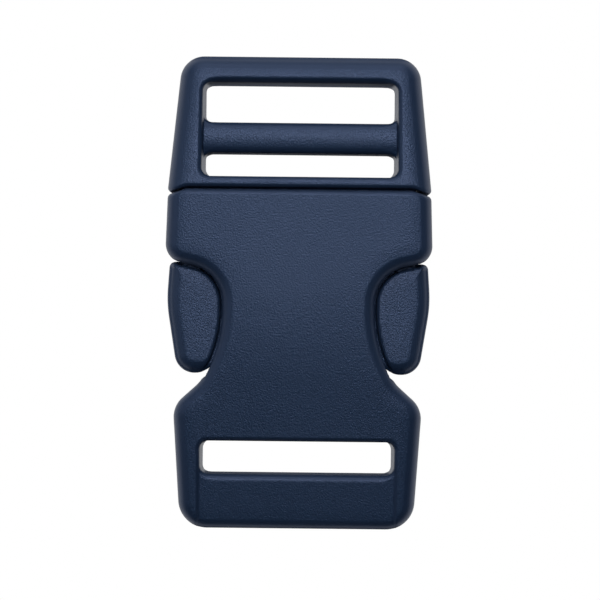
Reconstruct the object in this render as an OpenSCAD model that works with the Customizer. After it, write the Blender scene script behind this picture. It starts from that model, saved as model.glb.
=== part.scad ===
// Side release buckle, fastened: a hollow socket with the two-armed plug latched inside it.
// X runs across the webbing, Y along it towards the plug's end, and Z is up.
// The origin lies under the middle of the buckle, on the surface that it rests on.

/* [Webbing] */
// Width of the webbing that the buckle joins
webbing_w = 25; // [20:0.5:38]
// Play of the webbing in a slot, over its whole width
webbing_play = 0.1; // [0.1:0.1:1.5]
// Lean of a slot's end walls, from mid-height out to either face
slot_lean = 0.5; // [0:0.05:0.9]

/* [Socket] */
// Height of the socket, from its underside to its top face
socket_h = 11; // [9.5:0.1:14]
// Height of the socket at its strap end
strap_end_h = 6; // [5.5:0.1:8.5]
// Length of the arch by which the faces turn down towards the strap end, back from the windows' lower end
face_arch_l = 12; // [4:0.5:14]
// Thickness of the top and bottom plates
plate_t = 1.7; // [1.5:0.1:2.4]
// Thickness of the band's side walls
band_wall = 2; // [1.4:0.1:2.6]
// Length of the band, from the mouth to its lower edge
band_l = 9.5; // [7:0.1:13]
// How far the band stands out past the frame on each side
band_step = 0.3; // [0:0.05:0.6]
// Drop of the band's lower edge from its side in to the waist
band_slant = 2; // [0:0.1:3]
// Length of the side windows that hold the thumb pads
window_l = 15.4; // [13:0.1:20]
// How far each scoop cuts in from the band's side
scoop_depth = 7.6; // [6:0.1:9]
// Length of the solid throat between the windows and the strap slot
throat_l = 8.35; // [7:0.05:12]
// Opening of the strap slot along the webbing
strap_slot_l = 4.45; // [4.2:0.05:7]
// Length of the strap bar
strap_bar_l = 7.25; // [5:0.05:10]
// Width of the rails beside the strap slot, where the flanks end
strap_rail_w = 3.95; // [3:0.05:5]
// How much narrower those rails are at the strap end
strap_rail_taper = 1; // [0:0.05:1.2]
// Depth of the strap bar's faces below its rails
strap_bar_drop = 0.4; // [0.1:0.05:0.8]
// Wall between the inner pocket and the strap slot
pocket_wall = 2.5; // [1.5:0.1:4]

/* [Plug] */
// Height of the frame where it meets the socket
frame_h = 10.6; // [9:0.1:11]
// Height of the frame at its free end
frame_end_h = 7.8; // [6.5:0.1:9]
// Width of the frame's rails at the mouth
frame_rail_w = 4.85; // [4:0.05:6]
// Width of the frame's rails at its free end
frame_end_rail_w = 3.15; // [2.8:0.05:4]
// Length of the bar at the frame's free end
end_bar_l = 3.55; // [2.5:0.05:6]
// Opening of the outer webbing slot along the webbing
outer_slot_l = 5.3; // [4.3:0.1:8]
// Length of the crossbar between the two slots
crossbar_l = 3.85; // [3:0.05:6]
// Height of the crossbar
crossbar_h = 6.8; // [4:0.1:7.5]
// Opening of the inner webbing slot along the webbing
inner_slot_l = 3.3; // [2:0.1:6]
// Length of the lip between the inner slot and the mouth
lip_l = 1.33; // [1:0.01:3]
// Reach of the plug's base into the mouth
base_l = 1.8; // [1:0.1:3]
// Width of the arms
arm_w = 2.6; // [1.8:0.1:3.2]
// Relief that leaves the arms thinner than the pads, on each face
arm_relief = 0.3; // [0.1:0.05:1]
// Length by which the thumb pads run in under the plates at the waist
pad_overlap = 1.2; // [0.5:0.1:3]
// How far the thumb pads stay inside the band's side faces
pad_inset = 0.3; // [0:0.05:1]
// Width of the guide tongue
tongue_w = 4.4; // [3:0.1:6]
// Length of the guide tongue, from the mouth
tongue_l = 14; // [6:0.1:20]

/* [Edges] */
// Radius of the rounding along the sides
side_edge_r = 2.1; // [0.5:0.05:2.2]
// Radius of the rounding along the scoops and flanks
scoop_edge_r = 1.2; // [0.4:0.05:1.6]
// Radius of the rounding along the socket's mouth
mouth_edge_r = 0.8; // [0.2:0.05:1]
// Radius of the rounding along the webbing's bars
bar_edge_r = 0.9; // [0.3:0.05:1.2]
// Radius in the corners of the slots
slot_corner_r = 1.1; // [0.3:0.05:1.4]
// Radius of the frame's free corners, seen from above
frame_corner_r = 3.2; // [1.8:0.1:4]
// Radius of the strap end's corners, seen from above
strap_corner_r = 3.8; // [1.8:0.1:4.5]
// Radius of the band's shoulders, seen from above
shoulder_r = 2.8; // [1.4:0.1:3]
// Radius of the corners at the mouth, seen from above
mouth_corner_r = 0.9; // [0.4:0.05:2]
// Radius of the scoops under the band, seen from above
scoop_r = 5; // [3:0.1:5.5]

/* [Fit] */
// Gap between the frame and the socket's mouth
mouth_gap = 0.36; // [0.2:0.02:0.8]
// Clearance of the plug inside the socket
fit_gap = 0.3; // [0.2:0.05:0.5]
// Clearance below the thumb pads
pad_end_gap = 0.6; // [0.3:0.1:1.5]

/* [Hidden] */
navy = "#34455f";
navy_light = "#3d4f6b";

// Facets of a quarter round edge, and of an outline's corner
edge_steps = 5;
corner_steps = 7;
// Steps of the table that sets the arch of the socket's faces
arch_steps = 6;
// How far a cutter crosses a wall that it meets
seam = 0.02;
// How far a cutter runs on into a slot, and how far joined pieces run into each other
overcut = 0.5;
// Columns of the outline tables
X = 0;
Y = 1;
CORNER = 2;
EDGE = 3;

slot_half = (webbing_w + webbing_play) / 2;
mid_z = socket_h / 2;
pad_h = socket_h - 2 * plate_t - 2 * fit_gap;

frame_l = end_bar_l + outer_slot_l + crossbar_l + inner_slot_l + lip_l;
socket_l = band_l + window_l + throat_l + strap_slot_l + strap_bar_l;
free_end_y = (frame_l + mouth_gap + socket_l) / 2;
outer_slot_y = free_end_y - end_bar_l;
crossbar_y = outer_slot_y - outer_slot_l;
inner_slot_y = crossbar_y - crossbar_l;
lip_y = inner_slot_y - inner_slot_l;
frame_y = lip_y - lip_l;
mouth_y = frame_y - mouth_gap;
band_y = mouth_y - band_l;
window_y = band_y - window_l;
strap_slot_y = window_y - throat_l;
strap_bar_y = strap_slot_y - strap_slot_l;
strap_end_y = strap_bar_y - strap_bar_l;

frame_half = slot_half + frame_rail_w;
frame_end_half = slot_half + frame_end_rail_w;
band_half = frame_half + band_step;
waist_half = band_half - scoop_depth;
flank_half = slot_half + strap_rail_w;
strap_end_half = flank_half - strap_rail_taper;
flare = flank_half - waist_half;
cavity_half = band_half - band_wall;
pad_half = band_half - pad_inset;
pad_l = window_l - pad_end_gap - fit_gap;
pad_y = band_y - fit_gap;

// Right half of the socket's outline, from the mouth to the strap end: x, y, corner and edge radius
socket_corners = [
    [frame_half, mouth_y, mouth_corner_r, mouth_edge_r],
    [band_half, band_y + 0.2 * band_slant, shoulder_r, scoop_edge_r],
    [waist_half, band_y - 0.8 * band_slant, scoop_r, scoop_edge_r],
    [waist_half, band_y - 0.72 * window_l, 1.17 * window_l, scoop_edge_r],
    [waist_half + 0.44 * flare, band_y - 1.04 * window_l, 0.32 * window_l, scoop_edge_r],
    [flank_half, band_y - 1.25 * window_l, 3.5, side_edge_r],
    [strap_end_half, strap_end_y, strap_corner_r, side_edge_r]
];

// Right half of the frame's outline, from its free end to the mouth, with the same columns
frame_corners = [
    [frame_end_half, free_end_y, frame_corner_r, side_edge_r],
    [frame_half, frame_y, 0.7 * mouth_corner_r, 0.7 * mouth_edge_r]
];

// Outline of the right thumb pad, clockwise from its inner latch corner, with the same columns
pad_corners = [
    [waist_half + 0.1 * scoop_depth, pad_y, 0.6, 0.3],
    [pad_half - 0.3, pad_y, 1.1, 1],
    [pad_half + 0.05, pad_y - 0.36 * pad_l, 1.2 * pad_l, side_edge_r],
    [pad_half - 0.19 * scoop_depth, pad_y - pad_l, 2.6, side_edge_r],
    [waist_half + 0.17 * scoop_depth, pad_y - pad_l, 3.2, 1],
    [waist_half - pad_overlap, pad_y - 0.5 * pad_l, 4, 0.3]
];

// Centre line of the right arm, from the base to the pad: share of the way, share of its bow inwards
arm_stations = [[-0.1, 0], [0.25, 0.2], [0.5, 0.35], [0.75, 0.3], [1.12, 0]];
arm_bow = 0.6;

function unit(v) = v / norm(v);
function outward(d) = [-d[1], d[0]];
function corner_at(rows, i) = let (row = rows[(i + len(rows)) % len(rows)]) [row[X], row[Y]];
function heading(rows, i) = unit(corner_at(rows, i + 1) - corner_at(rows, i));
function side_length(rows, i) = norm(corner_at(rows, i + 1) - corner_at(rows, i));
function turn_at(rows, i) =
    let (d = heading(rows, i - 1), e = heading(rows, i)) atan2(e[0] * d[1] - e[1] * d[0], d * e);
function tangent_at(rows, i) =
    rows[(i + len(rows)) % len(rows)][CORNER] * tan(abs(turn_at(rows, i)) / 2);
// Share of the wanted radius for which the side after corner i has room
function side_room(rows, i) =
    min(1, side_length(rows, i) / (tangent_at(rows, i) + tangent_at(rows, i + 1)));

// A closed table of corners as points with their outward normal and edge radius: [x, y, nx, ny, edge]
function rounded(rows) = [
    for (i = [0 : len(rows) - 1])
        let (
            turn = turn_at(rows, i),
            bend = turn < 0 ? -1 : 1,
            room = min(side_room(rows, i - 1), side_room(rows, i)),
            radius = rows[i][CORNER] * room,
            heading_in = heading(rows, i - 1),
            start = corner_at(rows, i) - heading_in * tangent_at(rows, i) * room,
            normal_in = outward(heading_in),
            centre = start - bend * radius * normal_in,
            angle_in = atan2(normal_in[1], normal_in[0]),
            edge = bend > 0 ? min(rows[i][EDGE], 0.7 * radius) : rows[i][EDGE]
        )
        for (step = [0 : corner_steps])
            let (
                angle = angle_in - turn * step / corner_steps,
                normal = [cos(angle), sin(angle)],
                point = centre + bend * radius * normal
            )
            [point[0], point[1], normal[0], normal[1], edge]
];

// The right half's rows followed by their mirror image, which closes the outline
function both_sides(rows) = concat(rows, [
    for (i = [len(rows) - 1 : -1 : 0]) [-rows[i][X], rows[i][Y], rows[i][CORNER], rows[i][EDGE]]
]);

// One ring of a slab round the outline: angle runs from 0 at its side wall to 90 on its face,
// and side is 1 for its upper half, -1 for its lower
function ring(outline, heights, angle, side) = [
    for (p = outline)
        let (
            inset = p[4] * (1 - cos(angle)),
            y = p[1] - inset * p[3],
            rise = lookup(y, heights) - p[4] * (1 - sin(angle))
        )
        [p[0] - inset * p[2], y, mid_z + side * rise]
];

// A closed skin over rings of points that run clockwise as seen from above, the lowest ring first.
// Each ring is symmetric or convex, so that its cap is a ladder of rungs between its two halves.
module skin(rings) {
    n = len(rings[0]);
    top = (len(rings) - 1) * n;
    walls = [
        for (j = [0 : len(rings) - 2], i = [0 : n - 1])
            let (low = j * n, high = low + n, k = (i + 1) % n)
            each [[low + i, low + k, high + k], [low + i, high + k, high + i]]
    ];
    rungs = [for (i = [0 : n / 2 - 2]) [i, i + 1, n - 2 - i, n - 1 - i]];
    polyhedron(
        points = [for (r = rings) each r],
        faces = concat(
            walls,
            [for (r = rungs) [top + r[0], top + r[1], top + r[2], top + r[3]]],
            [for (r = rungs) [r[3], r[2], r[1], r[0]]]
        ),
        convexity = 6
    );
}

// A slab with quarter round edges about mid-height; heights is a table of [y, half height]
module slab(outline, heights) {
    rises = [for (i = [0 : edge_steps]) 90 * i / edge_steps];
    skin(concat(
        [for (i = [edge_steps : -1 : 0]) ring(outline, heights, rises[i], -1)],
        [for (angle = rises) ring(outline, heights, angle, 1)]
    ));
}

// A box between two corners, about the mid-plane in x and z
module span(half_w, y_low, y_high, height) {
    translate([-half_w, y_low, mid_z - height / 2]) cube([2 * half_w, y_high - y_low, height]);
}

// A box like span's with rounded upright corners
module rounded_span(half_w, y_low, y_high, height, radius) {
    hull() for (x = [-1, 1], y = [y_low + radius, y_high - radius])
        translate([x * (half_w - radius), y, mid_z])
            cylinder(r = radius, h = height, center = true, $fn = 24);
}

// A webbing slot with rounded corners, whose end walls lean out from mid-height to both faces.
// Its end walls can be set back by a step.
module slot(y_low, y_high, step = 0) {
    past_faces = 1.2;
    skin([
        for (level = [-past_faces, 0, past_faces])
            let (
                half = slot_half + step + slot_lean * abs(level),
                corners = [[half, y_high, slot_corner_r, 0], [half, y_low, slot_corner_r, 0]]
            )
            [for (p = rounded(both_sides(corners))) [p[0], p[1], mid_z + level * socket_h / 2]]
    ]);
}

// Quarter round of a bar's edge, as points in y and z from its wall at [0, 0] to its face at radius.
// It starts a seam outside the wall and ends a lift above the face, so that it crosses both cleanly.
function quarter(radius, lift) = [
    for (a = [0 : 15 : 90]) [radius - (radius + seam) * cos(a), (radius + lift) * sin(a)]
];

// Lays a profile in y and z from rail to rail, above mid-height and mirrored below it. It ends at
// the leaning walls of the slots, and y_low and y_high are the ends of the bar that it shapes.
module across_rails(y_low, y_high) {
    past_bar = 2 * slot_corner_r;
    intersection() {
        slot(y_low - past_bar, y_high + past_bar, seam);
        for (flip = [0, 1]) translate([0, 0, mid_z]) mirror([0, 0, flip])
            translate([-frame_half, 0, 0]) rotate([90, 0, 90])
                linear_extrude(2 * frame_half) children();
    }
}

// Cutter that rounds a bar's edges along a slot, on top and underneath. The bar's wall is at y and
// its faces follow heights; side is 1 for a bar that lies above the slot in y, else -1
module bar_edges(y, heights, radius, side) {
    face = lookup(y + side * radius, heights);
    edge = [for (p = quarter(radius, seam)) [y + side * p[0], face - radius + p[1]]];
    across_rails(y, y) polygon(concat(
        [[y - side * overcut, face - radius]], edge,
        [[y + side * radius, socket_h], [y - side * overcut, socket_h]]
    ));
}

// Cutter that sets both faces of a bar between the rails, from half height low at y_low to high at
// y_high, and rounds the bar's edge at y_high, and at y_low too if both_edges is set
module bar_faces(y_low, y_high, low, high, both_edges) {
    steps = quarter(bar_edge_r, 0);
    high_edge = [for (p = steps) [y_high - p[0], high - bar_edge_r + p[1]]];
    low_edge = [for (i = [len(steps) - 1 : -1 : 0]) [y_low + steps[i][0], low - bar_edge_r + steps[i][1]]];
    low_end = both_edges
        ? concat(low_edge, [[y_low - overcut, low - bar_edge_r], [y_low - overcut, socket_h]])
        : [[y_low, low], [y_low, socket_h]];
    across_rails(y_low, y_high) polygon(concat(
        [[y_high + overcut, socket_h], [y_high + overcut, high - bar_edge_r]], high_edge, low_end
    ));
}

// Half heights along y: the socket's faces arch down to one straight slope, and the frame's only slope
end_slope = (socket_h - strap_end_h) / 2 / (face_arch_l / 2 + window_y - strap_end_y);
socket_heights = concat([[strap_end_y, strap_end_h / 2]], [
    for (i = [0 : arch_steps])
        let (share = i / arch_steps)
        [window_y + face_arch_l * share, (socket_h - end_slope * face_arch_l * (1 - share) ^ 2) / 2]
]);
frame_heights = [[frame_y, frame_h / 2], [free_end_y, frame_end_h / 2]];

// The hollow between the plates, open at the mouth and at both side windows
module cavity() {
    height = socket_h - 2 * plate_t;
    pocket_half = waist_half - pad_overlap;
    corner_r = 0.5;
    pocket_corner_r = 1;
    // How far the parts of the hollow run into each other and out past the outline
    run_on = 2;
    lead_in = 0.5;
    lead_in_l = 0.7;
    rounded_span(cavity_half, band_y - run_on, mouth_y + run_on, height, corner_r);
    rounded_span(band_half + run_on, window_y, band_y, height, corner_r);
    // Pocket that cores the throat, a plate's thickness below the faces where they are lowest
    rounded_span(
        pocket_half, strap_slot_y + pocket_wall, window_y + run_on, strap_end_h - 2 * plate_t, pocket_corner_r
    );
    // Lead-in round the mouth
    hull() {
        span(cavity_half - seam, mouth_y - lead_in_l, mouth_y, height - 2 * seam);
        span(cavity_half + lead_in, mouth_y, mouth_y + lead_in_l, height + 2 * lead_in);
    }
}

// Ribs on the plates' inner faces that keep the tongue in line
module guide_ribs() {
    rib_w = 1;
    rib_h = 1;
    rib_x = tongue_w / 2 + fit_gap + rib_w / 2;
    for (x = [-rib_x, rib_x], side = [-1, 1]) hull()
        for (y = [mouth_y - base_l - fit_gap - rib_w, band_y - 0.2 * window_l])
            translate([x, y, mid_z + side * (socket_h / 2 - plate_t)])
                cylinder(d = rib_w, h = 2 * rib_h, center = true, $fn = 16);
}

module socket() {
    color(navy) union() {
        difference() {
            slab(rounded(both_sides(socket_corners)), socket_heights);
            cavity();
            slot(strap_bar_y, strap_slot_y);
            bar_edges(strap_slot_y, socket_heights, bar_edge_r, 1);
            bar_faces(
                strap_end_y - overcut, strap_bar_y, strap_end_h / 2 - strap_bar_drop,
                lookup(strap_bar_y, socket_heights) - strap_bar_drop, false
            );
        }
        guide_ribs();
    }
}

module frame() {
    difference() {
        slab(rounded(both_sides(frame_corners)), frame_heights);
        slot(crossbar_y, outer_slot_y);
        slot(lip_y, inner_slot_y);
        bar_faces(inner_slot_y, crossbar_y, crossbar_h / 2, crossbar_h / 2, true);
        bar_edges(outer_slot_y, frame_heights, bar_edge_r, 1);
        bar_edges(lip_y, frame_heights, 0.5 * bar_edge_r, -1);
    }
}

// The right arm, which springs from the base and carries its thumb pad
module arm() {
    root = mouth_y - base_l;
    travel = pad_y - root;
    x0 = cavity_half - fit_gap - arm_w / 2;
    for (i = [0 : len(arm_stations) - 2]) hull() for (s = [arm_stations[i], arm_stations[i + 1]])
        translate([x0 - arm_bow * s[1], root + travel * s[0], mid_z])
            cylinder(d = arm_w, h = pad_h - 2 * arm_relief, center = true, $fn = 24);
}

// The flat tongue between the arms, which narrows and thins towards its tip
module tongue() {
    tip_r = 1;
    tip_half = tongue_w / 2 - 0.3;
    root_h = pad_h - 1;
    tip_h = pad_h - 2;
    hull() {
        span(tongue_w / 2, mouth_y - base_l + overcut, mouth_y, root_h);
        for (side = [-1, 1]) translate([side * (tip_half - tip_r), mouth_y - tongue_l + tip_r, mid_z])
            cylinder(r = tip_r, h = tip_h, center = true, $fn = 24);
    }
}

module plug() {
    color(navy_light) union() {
        frame();
        span(cavity_half - fit_gap, mouth_y - base_l, frame_y + overcut, pad_h);
        tongue();
        for (side = [0, 1]) mirror([side, 0, 0]) {
            arm();
            slab(rounded(pad_corners), [[0, pad_h / 2]]);
        }
    }
}

socket();
plug();
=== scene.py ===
import math

import bpy
import numpy as np
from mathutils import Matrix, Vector


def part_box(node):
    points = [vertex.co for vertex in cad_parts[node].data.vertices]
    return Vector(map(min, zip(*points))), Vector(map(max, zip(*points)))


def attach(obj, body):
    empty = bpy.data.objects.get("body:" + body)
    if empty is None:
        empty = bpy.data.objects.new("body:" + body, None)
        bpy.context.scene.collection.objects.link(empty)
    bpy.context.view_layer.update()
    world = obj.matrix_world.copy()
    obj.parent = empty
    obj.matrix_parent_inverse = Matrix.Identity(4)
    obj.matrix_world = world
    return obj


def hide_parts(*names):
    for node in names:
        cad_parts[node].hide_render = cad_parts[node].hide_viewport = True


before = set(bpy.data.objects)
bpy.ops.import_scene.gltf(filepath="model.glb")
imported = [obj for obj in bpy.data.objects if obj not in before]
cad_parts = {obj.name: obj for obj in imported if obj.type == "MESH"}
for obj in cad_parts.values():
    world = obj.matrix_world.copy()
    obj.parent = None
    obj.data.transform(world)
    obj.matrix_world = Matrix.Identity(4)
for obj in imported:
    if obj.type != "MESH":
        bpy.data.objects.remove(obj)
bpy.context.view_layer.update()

# The socket: the buckle's female half, one injection moulding in navy nylon. Two plates and the
# band's side walls leave a hollow for the plug, the scoops below the band free the thumb pads, and
# the webbing is sewn round the bar beyond the strap slot. All sizes are millimetres.
metre = 1000


def box_mm(node):
    """Lowest and highest corners of a CAD node"""
    return [metre * np.array(corner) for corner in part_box(node)]


socket_low, socket_high = box_mm("socket")

# Heights, each half of the whole about the parting plane at mid_z
mid_z = (socket_low[2] + socket_high[2]) / 2
face_half = mid_z
strap_end_face_half = 3
strap_bar_drop = 0.4
plate_t = 1.7

# Half widths
frame_half = 17.4
band_half = 17.7
scoop_depth = 7.6
waist_half = band_half - scoop_depth
flank_half = 16.5
flare = flank_half - waist_half
strap_end_half = 15.5
slot_half = 12.55
slot_lean = 0.5
cavity_half = 15.7
pad_overlap = 1.2
pocket_half = waist_half - pad_overlap
tongue_half = 2.2
fit_gap = 0.3

# Places along the webbing, from the mouth to the strap end
band_l = 9.5
band_slant = 2
window_l = 15.4
throat_l = 8.35
strap_slot_l = 4.45
face_arch_l = 12
pocket_wall = 2.5
mouth_y = socket_high[1]
band_y = mouth_y - band_l
window_y = band_y - window_l
strap_slot_y = window_y - throat_l
strap_bar_y = strap_slot_y - strap_slot_l
strap_end_y = socket_low[1]

# Radii of corners seen from above, and of the edges
shoulder_r = 2.6
scoop_r = 5
flank_r = 3.5
strap_corner_r = 3.8
slot_corner_r = 1.15
cavity_corner_r = 0.5
window_corner_r = 0.6
pocket_corner_r = 1
side_edge = 1.65
strap_end_edge = 1.2
mouth_edge = 0.55
bar_edge = 0.9
throat_edge = 0.6
rail_edge = 0.6
hollow_edge = 0.4
window_edge = 0.25

# How deep the faces sink at a side, and over which width
mouth_side_crown = 0.5
band_crown = 0.3
scoop_crown = 0.1
flank_crown = 0.5
strap_end_crown = 0.15
crown_w = 3.2

# The parting line at the mouth lies this far below the solids' and droops further at both sides
mouth_drop = 0.08
mouth_droop = 0.6
droop_start = 14.6


def ease(low, high, value):
    """0 below low, 1 above high, and a smooth change between"""
    share = np.clip((value - low) / (high - low), 0, 1)
    return share * share * (3 - 2 * share)


def both(a, b, radius):
    """What two solids share, with a round edge of that radius where they meet"""
    a, b = a + radius, b + radius
    return np.minimum(np.maximum(a, b), 0) + np.hypot(np.maximum(a, 0), np.maximum(b, 0)) - radius


def either(a, b, radius):
    """Two solids joined, with a fillet of that radius where they meet"""
    return -both(-a, -b, radius)


def outline(rows, closed=False):
    """Lines and arcs through rows of x, y, corner radius, and the next side's edge radius and crown"""
    corners = np.array([row[:2] for row in rows], float)
    edges = [np.array(row[3:]) for row in rows]
    count = len(rows)
    ahead = np.roll(corners, -1, axis=0) - corners
    length = np.hypot(ahead[:, 0], ahead[:, 1])
    heading = ahead / length[:, None]
    behind = np.roll(heading, 1, axis=0)
    across = heading[:, 0] * behind[:, 1] - heading[:, 1] * behind[:, 0]
    turn = np.arctan2(across, (heading * behind).sum(1))
    reach = np.array([row[2] for row in rows]) * np.tan(np.abs(turn) / 2)
    if not closed:
        reach[0] = reach[-1] = 0
    room = np.minimum(1, length / np.maximum(reach + np.roll(reach, -1), 1e-6))
    share = np.minimum(room, np.roll(room, 1))
    pieces = []
    for i in range(count if closed else count - 1):
        k = (i + 1) % count
        start = corners[i] + heading[i] * reach[i] * share[i]
        end = corners[k] - heading[i] * reach[k] * share[k]
        pieces.append(("line", start, end, edges[i]))
        radius = rows[k][2] * share[k]
        if radius and (closed or k < count - 1):
            bend = 1 if turn[k] > 0 else -1
            normals = [np.array([-heading[j][1], heading[j][0]]) for j in (i, k)]
            middle = bend * (normals[0] + normals[1])
            middle /= np.hypot(*middle)
            centre = end - bend * radius * normals[0]
            pieces.append(("arc", centre, radius, middle, turn[k], edges[i], edges[k]))
    return pieces


def distance(pieces, x, y):
    """Distance outside an outline (negative inside), and its nearest side's edge radius and crown"""
    far_off = 1e9
    x, y = np.broadcast_arrays(x, y)
    nearest = np.full(x.shape, far_off)
    signed = np.zeros(x.shape)
    finish = np.zeros((2,) + x.shape)
    for kind, *piece in pieces:
        if kind == "line":
            start, end, edge = piece
            along = end - start
            share = ((x - start[0]) * along[0] + (y - start[1]) * along[1]) / (along @ along)
            share = np.clip(share, 0, 1)
            away_x, away_y = x - start[0] - share * along[0], y - start[1] - share * along[1]
            far = np.hypot(away_x, away_y)
            value = np.copysign(far, away_y * along[0] - away_x * along[1])
            edge = edge.reshape((2,) + (1,) * x.ndim)
        else:
            centre, size, middle, turn, before, after = piece
            away_x, away_y = x - centre[0], y - centre[1]
            angle = np.arctan2(
                away_y * middle[0] - away_x * middle[1], away_x * middle[0] + away_y * middle[1])
            value = math.copysign(1, turn) * (np.hypot(away_x, away_y) - size)
            far = np.where(np.abs(angle) <= abs(turn) / 2, np.abs(value), far_off)
            edge = np.multiply.outer(before, np.ones(x.shape)) + np.multiply.outer(
                after - before, np.clip(0.5 - angle / turn, 0, 1))
        closer = far < nearest
        nearest = np.where(closer, far, nearest)
        signed = np.where(closer, value, signed)
        finish = np.where(closer, edge, finish)
    return signed, finish[0], finish[1]


def box_distance(x, y, half, y_low, y_high, radius):
    """Distance outside a rectangle with rounded corners that lies about x = 0"""
    over_x = x - half + radius
    over_y = np.abs(y - (y_low + y_high) / 2) - (y_high - y_low) / 2 + radius
    outside = np.hypot(np.maximum(over_x, 0), np.maximum(over_y, 0))
    return outside + np.minimum(np.maximum(over_x, over_y), 0) - radius


def slot(x, y, up, y_low, y_high):
    """A webbing slot, whose end walls lean out from the parting plane to both faces"""
    return box_distance(x, y, slot_half + slot_lean * up / face_half, y_low, y_high, slot_corner_r)


def slot_edge(x, at_bars):
    """Rounding of a slot's rim: at_bars along the webbing's bars, and slight beside the rails"""
    blend_w = 1.6
    return rail_edge + (at_bars - rail_edge) * ease(slot_half, slot_half - blend_w, x)


# Right half, from past the mouth, where it is cut off later, to the middle of the strap end
run_on = 8
socket_outline = outline([
    [0, mouth_y + run_on, 0, side_edge, 0],
    [frame_half - 0.03 * run_on, mouth_y + run_on, 0, side_edge, mouth_side_crown],
    [band_half, band_y + 0.1 * band_slant, shoulder_r, side_edge, band_crown],
    [waist_half, band_y - 0.8 * band_slant, scoop_r, side_edge, scoop_crown],
    [waist_half, band_y - 0.72 * window_l, 1.17 * window_l, side_edge, scoop_crown],
    [waist_half + 0.44 * flare, band_y - 1.04 * window_l, 0.32 * window_l, side_edge, band_crown],
    [flank_half, band_y - 1.25 * window_l, flank_r, side_edge, flank_crown],
    [strap_end_half, strap_end_y, strap_corner_r, strap_end_edge, strap_end_crown],
    [0, strap_end_y, 0, strap_end_edge, strap_end_crown],
])


def droop(x):
    """How far the parting line at the mouth has dropped at x"""
    return mouth_drop + mouth_droop * ease(droop_start, frame_half, x)


end_slope = (face_half - strap_end_face_half) / (face_arch_l / 2 + window_y - strap_end_y)


def socket_face(x, y):
    """Half height of the socket: level, then arching down from the windows to one straight slope"""
    down = window_y + face_arch_l - y
    arching = np.maximum(down, 0) ** 2 / (2 * face_arch_l)
    fall = np.where(down < face_arch_l, arching, down - face_arch_l / 2)
    # The strap bar's face is recessed, and rises to the rails and to the slot between these distances
    to_rail = (0.85, 0.2)
    to_slot = (1.2, 0.2)
    recess = (ease(slot_half + to_rail[0], slot_half + to_rail[1], x)
              * ease(strap_bar_y + to_slot[0], strap_bar_y + to_slot[1], y))
    return face_half - end_slope * fall - strap_bar_drop * recess


def crowned(side, crown, width):
    """How far a face has sunk near a side that is crowned over that width"""
    return crown * np.clip(1 + side / width, 0, 1) ** 2


def hollow(x, y, up):
    """The plug's room, open at the mouth and both windows, with a pocket that cores the throat"""
    within = 2
    beyond = 3
    window_fillet = 0.3
    pocket_fillet = 0.5
    lead_in_l = 0.7
    lead_in_slope = 0.7
    room = box_distance(x, y, cavity_half, band_y - within, mouth_y + beyond, cavity_corner_r)
    windows = box_distance(x, y, band_half + beyond, window_y, band_y, window_corner_r)
    pocket = box_distance(
        x, y, pocket_half, strap_slot_y + pocket_wall, window_y + within, pocket_corner_r)
    plan = either(either(room, windows, window_fillet), pocket, pocket_fillet)
    lead_in = lead_in_slope * np.maximum(y - mouth_y + lead_in_l, 0)
    return both(plan - lead_in, up - face_half + plate_t - lead_in, hollow_edge)


def guide_rib(x, y, up):
    """The rib on each plate's inner face that keeps the plug's tongue in line"""
    rib_half = 0.5
    rib_h = 1
    rib_root = 1
    past_band = 3.6
    behind_mouth = 2.6
    near = tongue_half + fit_gap
    plan = box_distance(
        x - near - rib_half, y, rib_half, band_y - past_band, mouth_y - behind_mouth, rib_half)
    rib = both(np.maximum(plan, near - x), face_half - plate_t - rib_h - up, 0.2)
    return np.maximum(rib, up - face_half + rib_root)


def socket_shape(x, y, z):
    """Distance outside the socket"""
    x = np.abs(x)
    up = np.abs(z - mid_z)
    side, edge, crown = distance(socket_outline, x, y)
    body = both(side, up - socket_face(x, y) + crowned(side, crown, crown_w), edge)
    body = both(body, y + droop(x) - mouth_y, mouth_edge)
    body = both(body, -hollow(x, y, up), window_edge)
    at_bars = throat_edge + (bar_edge - throat_edge) * ease(strap_slot_y - 1, strap_bar_y + 1, y)
    body = both(body, -slot(x, y, up, strap_bar_y, strap_slot_y), slot_edge(x, at_bars))
    return either(body, guide_rib(x, y, up), 0.2)


def gradient(shape, points):
    """Outward direction in which a shape's value grows, and how fast, at each point"""
    small = 0.01
    return np.stack([
        (shape(*(points + small * step).T) - shape(*(points - small * step).T)) / (2 * small)
        for step in np.eye(3)
    ], axis=1)


def evened(points, faces):
    """Points moved halfway to the middle of the faces round them, which evens the faces out"""
    around = np.zeros_like(points)
    middles = points[faces].mean(1)
    for corner in faces.T:
        np.add.at(around, corner, middles)
    even = around / np.bincount(faces.ravel(), minlength=len(points))[:, None]
    return points + 0.5 * (even - points)


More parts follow.
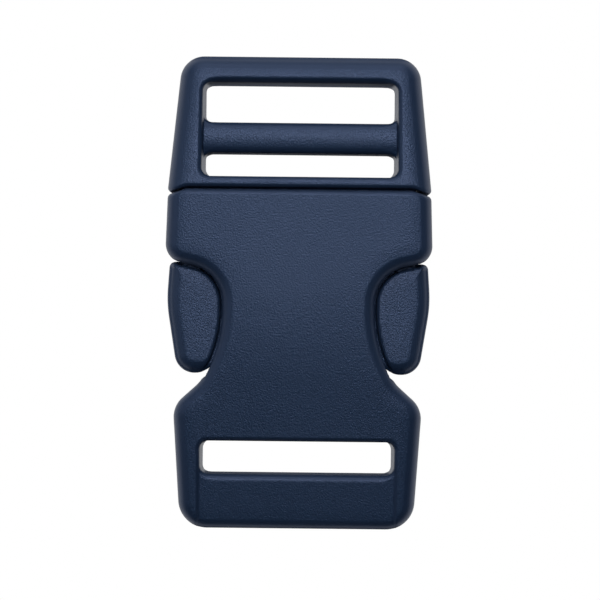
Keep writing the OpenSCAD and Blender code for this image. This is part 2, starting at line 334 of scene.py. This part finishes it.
def skin(shape, low, high, pitch):
    """Points, four-sided faces and outward directions of the surface where shape is zero"""
    counts = [int(np.ceil((high[i] - low[i]) / 2 / pitch)) + 2 for i in range(3)]
    axes = [
        (low[i] + high[i]) / 2 + pitch * (np.arange(2 * counts[i]) - counts[i] + 0.5) for i in range(3)]
    value = shape(*np.meshgrid(*axes, indexing="ij", sparse=True))
    solid = value < 0
    # One point per grid cell that the surface crosses, in the middle of its crossings
    cells = tuple(n - 1 for n in solid.shape)
    total = np.zeros(cells + (3,))
    crossings = np.zeros(cells)
    found = []
    for axis in range(3):
        others = [i for i in range(3) if i != axis]
        lower = np.moveaxis(solid, axis, 0)[:-1]
        upper = np.moveaxis(solid, axis, 0)[1:]
        at = np.argwhere(np.moveaxis(lower != upper, 0, axis))
        ahead = at.copy()
        ahead[:, axis] += 1
        before, after = value[tuple(at.T)], value[tuple(ahead.T)]
        place = np.stack([axes[i][at[:, i]] for i in range(3)], axis=1)
        place[:, axis] += pitch * before / (before - after)
        corners = []
        for step in ((0, 0), (1, 0), (1, 1), (0, 1)):
            cell = at.copy()
            cell[:, others[0]] -= step[0]
            cell[:, others[1]] -= step[1]
            np.add.at(total, tuple(cell.T), place)
            np.add.at(crossings, tuple(cell.T), 1)
            corners.append(np.ravel_multi_index(tuple(cell.T), cells))
        corners = np.stack(corners, axis=1)
        flip = (before < 0) == (axis == 1)
        found.append(np.where(flip[:, None], corners[:, ::-1], corners))
    used = np.argwhere(crossings > 0)
    number = np.zeros(cells, int)
    number[tuple(used.T)] = np.arange(len(used))
    faces = number.ravel()[np.concatenate(found)]
    points = total[tuple(used.T)] / crossings[tuple(used.T)][:, None]
    # The points settle on the surface in steps, and are evened out between some of them
    settling_steps = 6
    evening_steps = (2, 4)
    least_slope = 0.2
    longest_move = 0.6 * pitch
    for step in range(settling_steps):
        if step in evening_steps:
            points = evened(evened(points, faces), faces)
        slope = gradient(shape, points)
        steepness = np.maximum((slope ** 2).sum(1), least_slope ** 2)
        move = (shape(*points.T) / steepness)[:, None] * slope
        points -= np.clip(move, -longest_move, longest_move)
    slope = gradient(shape, points)
    return points, faces, slope / np.linalg.norm(slope, axis=1)[:, None]


def moulding(name, shape, node, pitch):
    """A moulded piece that stands for a CAD node, with its shares of grain and of drag marks"""
    low, high = box_mm(node)
    points, faces, outward = skin(shape, low, high, pitch)
    mesh = bpy.data.meshes.new(name)
    mesh.from_pydata((points / metre).tolist(), [], faces.tolist())
    mesh.shade_smooth()
    mesh.normals_split_custom_set_from_vertices(outward.tolist())
    # Grain where a face looks up or down, drag marks where it looks along the webbing
    for label, share in (
        ("grain", ease(0.93, 0.985, np.abs(outward[:, 2]))),
        ("drag", ease(0.7, 0.95, np.abs(outward[:, 1]))),
    ):
        mark = mesh.attributes.new(label, "FLOAT", "POINT")
        mark.data.foreach_set("value", share.astype(np.float32))
    piece = bpy.data.objects.new(name, mesh)
    bpy.context.scene.collection.objects.link(piece)
    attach(piece, "root")
    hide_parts(node)
    return piece


def linear(hex_colour):
    """An sRGB hex colour as linear red, green and blue with full alpha"""
    levels = [int(hex_colour[i:i + 2], 16) / 255 for i in (0, 2, 4)]
    return [v / 12.92 if v <= 0.04045 else ((v + 0.055) / 1.055) ** 2.4 for v in levels] + [1]


def add(tree, kind, settings, inputs):
    """A shader node with its settings, and each input set to a value or linked to an output"""
    made = tree.nodes.new(kind)
    for name, value in settings.items():
        setattr(made, name, value)
    for name, value in inputs.items():
        if isinstance(value, bpy.types.NodeSocket):
            tree.links.new(value, made.inputs[name])
        else:
            made.inputs[name].default_value = value
    return made


# Nylon moulded against a spark-eroded steel cavity: satin navy, with a fine leathery grain on
# the flats, smooth where the steel was polished round the edges, and duller where it dragged
# along the bars' walls as the mould opened.
# Two navies for the grain: the darker is painted shade in the grain's hollows, the lighter is painted
# light on its tops.
grain_hollow_shade_navy = linear("1B2A41")
grain_top_light_navy = linear("20324A")
gloss_blue = linear("B9CDFF")
nylon_ior = 1.53
grain_mm = 0.22
grain_depth_mm = 0.06
patch_mm = 9
drag_roughness = 0.5
nylon = bpy.data.materials.new("nylon_spark_eroded_navy")
nylon.use_nodes = True
tree = nylon.node_tree
tree.nodes.clear()
place = add(tree, "ShaderNodeTexCoord", {}, {}).outputs["Object"]
grained = add(tree, "ShaderNodeAttribute", {"attribute_name": "grain"}, {}).outputs["Fac"]
dragged = add(tree, "ShaderNodeAttribute", {"attribute_name": "drag"}, {}).outputs["Fac"]
pebbles = add(tree, "ShaderNodeTexNoise", {}, {
    "Vector": place, "Scale": metre / grain_mm, "Detail": 2.0, "Roughness": 0.5, "Distortion": 0.2,
}).outputs["Fac"]
patches = add(tree, "ShaderNodeTexNoise", {}, {
    "Vector": place, "Scale": metre / patch_mm, "Detail": 2.0, "Roughness": 0.5,
}).outputs["Fac"]
relief = add(tree, "ShaderNodeMath", {"operation": "MULTIPLY"}, {0: pebbles, 1: grained}).outputs[0]
bump = add(tree, "ShaderNodeBump", {}, {
    "Strength": 1.0, "Distance": grain_depth_mm / metre, "Height": relief,
}).outputs["Normal"]
# Painted shade on the grain: the base colour darkens where the grain's relief is low and lightens where
# it is high.
grain_shade = add(tree, "ShaderNodeMapRange", {}, {
    "Value": relief, "From Min": 0.3, "From Max": 0.7, "To Min": 0.0, "To Max": 1.0,
}).outputs["Result"]
colour = add(tree, "ShaderNodeMix", {"data_type": "RGBA"}, {
    0: grain_shade, 6: grain_hollow_shade_navy, 7: grain_top_light_navy,
}).outputs[2]
satin = add(tree, "ShaderNodeMapRange", {}, {
    "Value": patches, "From Min": 0.3, "From Max": 0.7, "To Min": 0.40, "To Max": 0.44,
}).outputs["Result"]
dulled = add(tree, "ShaderNodeMath", {"operation": "MULTIPLY_ADD"}, {
    0: dragged, 1: drag_roughness, 2: satin,
}).outputs[0]
plastic = add(tree, "ShaderNodeBsdfPrincipled", {}, {
    "Base Color": colour, "Roughness": dulled, "IOR": nylon_ior, "Specular Tint": gloss_blue,
    "Normal": bump,
})
add(tree, "ShaderNodeOutputMaterial", {}, {"Surface": plastic.outputs[0]})

socket_pitch = 0.29
socket = moulding("socket_moulding", socket_shape, "socket", socket_pitch)
socket.data.materials.append(nylon)

# The plug: the male half, one moulding in the same nylon. Its frame is a ladder with two webbing
# slots and a crossbar between them, and two sprung arms carry the thumb pads into the windows.
plug_high = box_mm("plug")[1]

# The frame, from its free end to the mouth
end_bar_l = 3.55
outer_slot_l = 5.22
crossbar_l = 4.03
inner_slot_l = 3.2
mouth_gap = 0.36
free_end_y = plug_high[1]
outer_slot_y = free_end_y - end_bar_l
crossbar_y = outer_slot_y - outer_slot_l
inner_slot_y = crossbar_y - crossbar_l
lip_y = inner_slot_y - inner_slot_l
frame_y = mouth_y + mouth_gap
frame_end_half = 15.7
frame_face_half = 5.3
frame_end_face_half = 3.9
frame_corner_r = 3.2
frame_side_crown = 0.85
frame_end_crown = 0.6
frame_droop = 1.15
lip_edge = 0.5
end_bar_edge = 0.7
end_bar_rim = 0.5
rim_w = 1
crossbar_half = 3.4
crossbar_crown = 0.4
crossbar_edge = 0.65
crossbar_end_edge = 0.4

# The base in the mouth, the arms and the thumb pads. Beside the plates the pads step down to a
# shelf that runs in under them.
base_l = 1.8
base_y = mouth_y - base_l
tongue_l = 14
pad_end_gap = 0.6
pad_inset = 0.3
pad_y = band_y - fit_gap
pad_l = window_l - pad_end_gap - fit_gap
pad_half = band_half - pad_inset
pad_face_half = face_half - plate_t - fit_gap
pad_edge = 1.8
pad_inner_edge = 0.3
pad_tilt = 0.02
pad_crown = 0.15
shelf_drop = 1
shelf_gap = 0.25
arm_w = 2.6
arm_relief = 0.7

frame_outline = outline([
    [0, free_end_y, 0, side_edge, frame_end_crown],
    [frame_end_half, free_end_y, frame_corner_r, side_edge, frame_side_crown],
    [frame_half + 0.1 * run_on, frame_y - run_on, 0, side_edge, 0],
    [0, frame_y - run_on, 0, side_edge, 0],
])
pad_outline = outline([
    [waist_half + 0.1 * scoop_depth, pad_y, 0.6, pad_inner_edge, pad_crown],
    [pad_half - 0.3, pad_y + 0.2, 0.9, pad_edge, pad_crown],
    [pad_half + 0.05, pad_y - 0.36 * pad_l, 1.2 * pad_l, pad_edge, pad_crown],
    [pad_half - 0.19 * scoop_depth, pad_y - pad_l, 2.6, pad_edge, pad_crown],
    [waist_half + 0.17 * scoop_depth, pad_y - pad_l, 3.2, 1, pad_crown],
    [waist_half - pad_overlap, pad_y - 0.5 * pad_l, 4, pad_inner_edge, pad_crown],
], closed=True)


def frame_face(y):
    """Half height of the plug's frame, which thins towards its free end"""
    way = (y - frame_y) / (free_end_y - frame_y)
    return frame_face_half - (frame_face_half - frame_end_face_half) * np.clip(way, 0, 1)


def within_rails(x):
    """1 between the rails, easing to 0 at a slot's end wall"""
    blend_w = 2
    return ease(slot_half, slot_half - blend_w, x)


def ladder_frame(x, y, up):
    """The frame, with one opening for both webbing slots, cut off along the mouth"""
    side, edge, crown = distance(frame_outline, x, y)
    opening = slot(x, y, up, lip_y, outer_slot_y)
    rim = end_bar_rim * ease(crossbar_y, outer_slot_y, y) * within_rails(x)
    face = up - frame_face(y) + crowned(side, crown, crown_w) + crowned(-opening, rim, rim_w)
    body = both(both(side, face, edge), frame_y - y - frame_droop * droop(x), mouth_edge)
    at_bars = lip_edge + (end_bar_edge - lip_edge) * ease(lip_y, outer_slot_y, y)
    return both(body, -opening, slot_edge(x, at_bars))


def crossbar(x, y, up):
    """The round-backed bar between the two slots, which runs a little way into the rails"""
    into_rails = 1
    reach_y = 3
    arch_w = 1.9
    root_spread = 0.3
    root_r = 1.5
    middle = (crossbar_y + inner_slot_y) / 2
    wide = slot_half + slot_lean * up / face_half + root_spread
    gaps = np.minimum(
        box_distance(x, y, wide, crossbar_y, outer_slot_y, root_r),
        box_distance(x, y, wide, lip_y, inner_slot_y, root_r))
    plan = np.maximum(np.maximum(-gaps, np.abs(y - middle) - reach_y), x - slot_half - into_rails)
    arch = crossbar_crown * ((y - middle) / arch_w) ** 2
    edge = crossbar_end_edge + (crossbar_edge - crossbar_end_edge) * within_rails(x)
    return both(plan, up - crossbar_half + arch, edge)


def base_and_tongue(x, y, up):
    """The base that fills the mouth, and the guide tongue, which narrows and thins to its tip"""
    corner_r = 0.3
    into_frame = 1
    tip_r = 1
    narrowing = 0.02
    thinning = 0.035
    tongue_relief = 0.5
    base = both(
        box_distance(x, y, cavity_half - fit_gap, base_y, frame_y + into_frame, corner_r),
        up - pad_face_half, corner_r)
    depth = mouth_y - y
    tongue = both(
        box_distance(x, y, tongue_half - narrowing * depth, mouth_y - tongue_l, mouth_y, tip_r),
        up - pad_face_half + tongue_relief + thinning * depth, corner_r)
    return base, tongue


def arm(x, y, up):
    """The right arm, which bows inwards between the base and its thumb pad"""
    into_base = 0.4
    into_pad = 2
    bow = 0.21
    corner_r = 0.8
    way = np.clip((base_y + into_base - y) / (base_y - pad_y + into_pad), 0, 1)
    middle = cavity_half - fit_gap - arm_w / 2 - bow * np.sin(np.pi * way)
    past_ends = np.abs(y - (base_y + pad_y) / 2) - (base_y - pad_y) / 2 - into_pad
    plan = both(np.abs(x - middle) - arm_w / 2, past_ends, corner_r)
    return both(plan, up - pad_face_half + arm_relief, 0.4)


def thumb_pad(x, y, up):
    """The right thumb pad: a proud face outside the plates' outline, and its shelf under them"""
    pad, edge, crown = distance(pad_outline, x, y)
    over = up - pad_face_half + pad_tilt * (y - window_y)
    shelf = both(pad, over + shelf_drop, 0.3)
    proud = both(pad, over + crowned(pad, crown, crown_w), edge)
    proud = both(proud, shelf_gap - distance(socket_outline, x, y)[0], 0.4)
    return either(proud, shelf, 0.2)


def plug_shape(x, y, z):
    """Distance outside the plug"""
    x = np.abs(x)
    up = np.abs(z - mid_z)
    base, tongue = base_and_tongue(x, y, up)
    body = either(ladder_frame(x, y, up), crossbar(x, y, up), 0.15)
    body = either(either(body, base, 0.2), tongue, 0.3)
    return either(body, either(arm(x, y, up), thumb_pad(x, y, up), 0.1), 0.4)


plug_pitch = 0.27
plug = moulding("plug_moulding", plug_shape, "plug", plug_pitch)
plug.data.materials.append(nylon)

# The light table that the buckle lies on: opal acrylic, lit from below, so it stays white and
# takes no shadow.
bpy.ops.mesh.primitive_plane_add(size=3, location=(0, 0, 0))
table = bpy.context.object
table.name = "light_table"
opal = bpy.data.materials.new("opal_acrylic_lit")
opal.use_nodes = True
tree = opal.node_tree
tree.nodes.clear()
glow = add(tree, "ShaderNodeEmission", {}, {"Color": linear("FFFFFF"), "Strength": 1.0})
add(tree, "ShaderNodeOutputMaterial", {}, {"Surface": glow.outputs[0]})
table.data.materials.append(opal)

# Softboxes stand in a row from above the table down towards the plug's end, so that the faces
# darken towards the strap end, and two more fill in from the sides. The room itself is dark.
room = bpy.data.worlds.new("dark_room")
room.use_nodes = True
room.node_tree.nodes["Background"].inputs["Strength"].default_value = 0.0
bpy.context.scene.world = room
for name, size, power, place_mm in (
    ("key_softbox", (0.06, 0.06), 0.07, (0, 75, 200)),
    ("softbox", (0.12, 0.12), 0.175, (0, 60, 250)),
    ("wide_softbox", (0.4, 0.2), 0.27, (0, 200, 300)),
    ("low_softbox", (0.3, 0.12), 0.2, (0, 250, 130)),
    ("left_softbox", (0.2, 0.2), 0.09, (-220, 40, 150)),
    ("right_softbox", (0.3, 0.3), 0.03, (250, 60, 300)),
):
    light = bpy.data.lights.new(name, "AREA")
    light.shape = "RECTANGLE"
    light.size, light.size_y = size
    light.energy = power
    stand = bpy.data.objects.new(name, light)
    stand.location = [value / metre for value in place_mm]
    stand.rotation_euler = Vector(place_mm).to_track_quat("Z", "Y").to_euler()
    bpy.context.scene.collection.objects.link(stand)

# The camera hangs over the buckle on a long lens and looks straight down, a hair off centre and
# turned by half a degree, as it was held.
distance_mm = 350
field_mm = 80
focus_height_mm = 6
off_centre_m = (0.0002, -0.00091)
roll_degrees = 0.62
lens = bpy.data.cameras.new("camera")
lens.lens = lens.sensor_width * distance_mm / field_mm
camera = bpy.data.objects.new("camera", lens)
camera.location = (*off_centre_m, (distance_mm + focus_height_mm) / metre)
camera.rotation_euler = (0, 0, math.radians(roll_degrees))
bpy.context.scene.collection.objects.link(camera)
bpy.context.scene.camera = camera
bpy.context.scene.view_settings.view_transform = "Standard"
